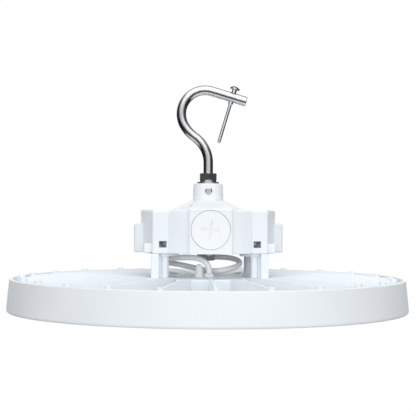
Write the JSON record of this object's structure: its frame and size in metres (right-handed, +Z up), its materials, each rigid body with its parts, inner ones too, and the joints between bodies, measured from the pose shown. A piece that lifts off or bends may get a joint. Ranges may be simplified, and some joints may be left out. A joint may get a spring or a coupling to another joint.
{
  "type": "high bay light",
  "caption": "Round white hanging light: shallow ribbed heat sink with a flat lens below, driver housing on short legs above, bent steel hook on top.",
  "frame": {"origin": "on the lamp's axis, in the plane of the rim's lower edge", "axes": "+Z up along the axis towards the hook, -Y towards the front with the round port, +X towards the hook's open mouth"},
  "size_m": [0.4094, 0.4094, 0.2313],
  "materials": {
    "white_coat": "white powder coat on cast aluminium, satin",
    "silicone": "matt silicone rubber",
    "frosted_lens": "frosted polycarbonate",
    "bright_steel": "bright zinc-plated steel",
    "dark_steel": "blackened steel",
    "hook_steel": "polished stainless steel",
    "board_white": "white solder resist on an aluminium board",
    "led_phosphor": "yellow phosphor",
    "white_plastic": "moulded white nylon",
    "grey_plastic": "moulded grey nylon",
    "bare_aluminium": "drawn can, satin",
    "cable_jacket": "soft light grey jacket"
  },
  "bodies": {
    "root": {"heat_sink": "white_coat", "leg_front_left": "white_coat", "leg_front_right": "white_coat", "leg_rear_left": "white_coat", "leg_rear_right": "white_coat", "driver_housing": "white_coat", "housing_base_plate": "white_coat", "lens_ring": "white_coat", "lens_gasket": "silicone", "base_plate_gasket": "silicone", "port_seal": "silicone", "lens_diffuser": "frosted_lens", "lens_screws": "bright_steel", "led_board": "board_white", "led_board_screws": "bright_steel", "led_chips": "led_phosphor", "leg_foot_screws": "bright_steel", "leg_screws": "bright_steel", "base_plate_screws": "bright_steel", "driver_screws": "bright_steel", "terminal_screws": "bright_steel", "port_plug": "white_plastic", "vent_plug": "white_plastic", "cable_gland_lower": "white_plastic", "cable_gland_upper": "grey_plastic", "cable_gland_nut": "grey_plastic", "terminal_block": "grey_plastic", "led_driver": "bare_aluminium", "led_lead": "cable_jacket", "hook": "hook_steel", "hook_safety_screw": "hook_steel", "hook_flat_washer": "bright_steel", "hook_spring_washer": "bright_steel", "hook_lock_nut": "dark_steel", "collar_set_screw": "bright_steel"}
  },
  "joints": []
}
